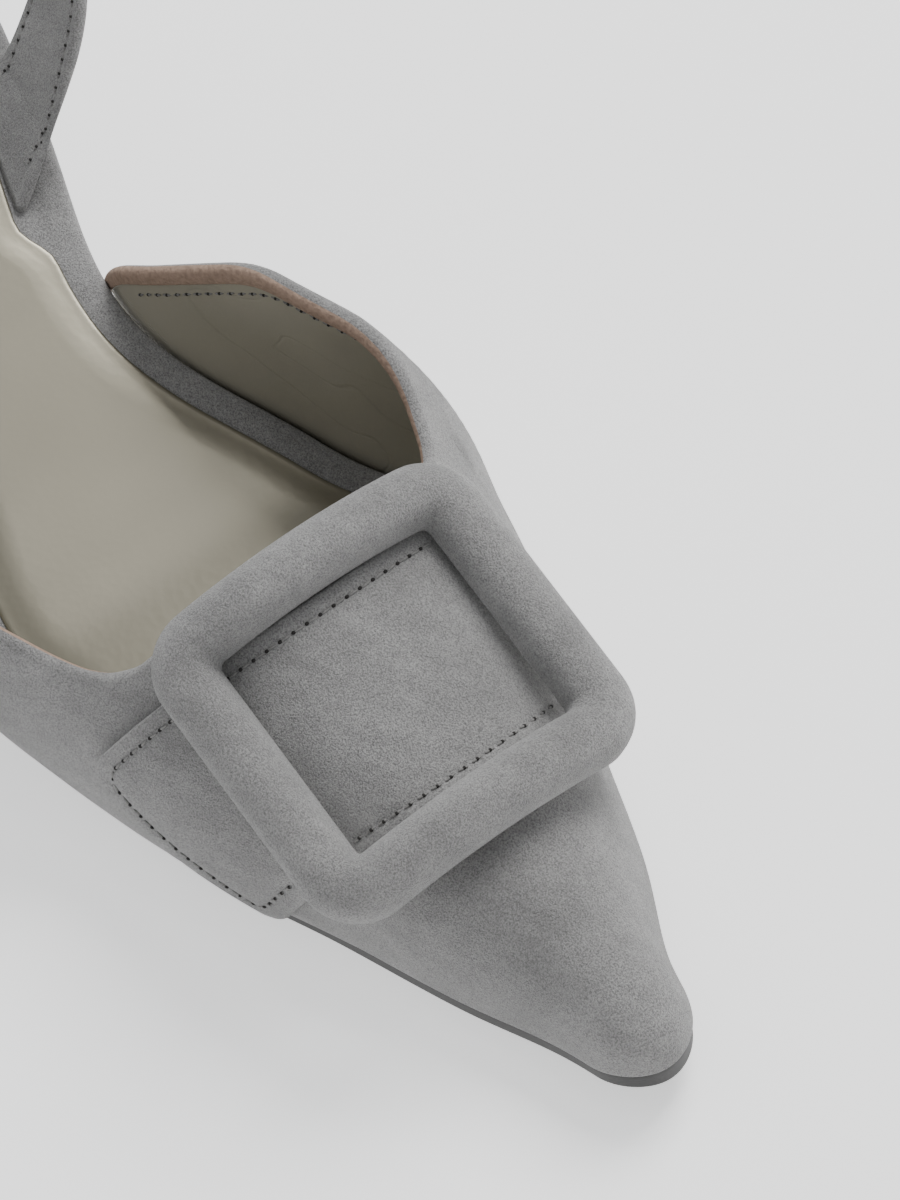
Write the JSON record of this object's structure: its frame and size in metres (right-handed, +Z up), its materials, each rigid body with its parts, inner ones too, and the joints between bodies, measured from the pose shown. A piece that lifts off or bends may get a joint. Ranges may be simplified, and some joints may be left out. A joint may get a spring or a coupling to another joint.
{
  "type": "slingback pump",
  "caption": "Slingback pump for women in grey suede, pointed toe, covered square buckle on the vamp, low slim heel, pale metallic sock.",
  "frame": {"origin": "middle of the heel's top lift, on the floor", "axes": "+X along the foot to the toe, +Y to the inner side of the foot, +Z up from the floor"},
  "size_m": [0.2527, 0.0854, 0.0942],
  "materials": {
    "suede": "napped matt",
    "metallic_leather": "pearly satin",
    "sole": "matt black edge",
    "top_lift": "matt"
  },
  "bodies": {
    "root": {"upper": "suede", "insole": "suede", "sock_lining": "metallic_leather", "outsole": "sole", "heel": "suede", "heel_top_lift": "top_lift", "buckle_belt": "suede", "buckle_frame": "suede", "slingback_strap": "suede"}
  },
  "joints": []
}
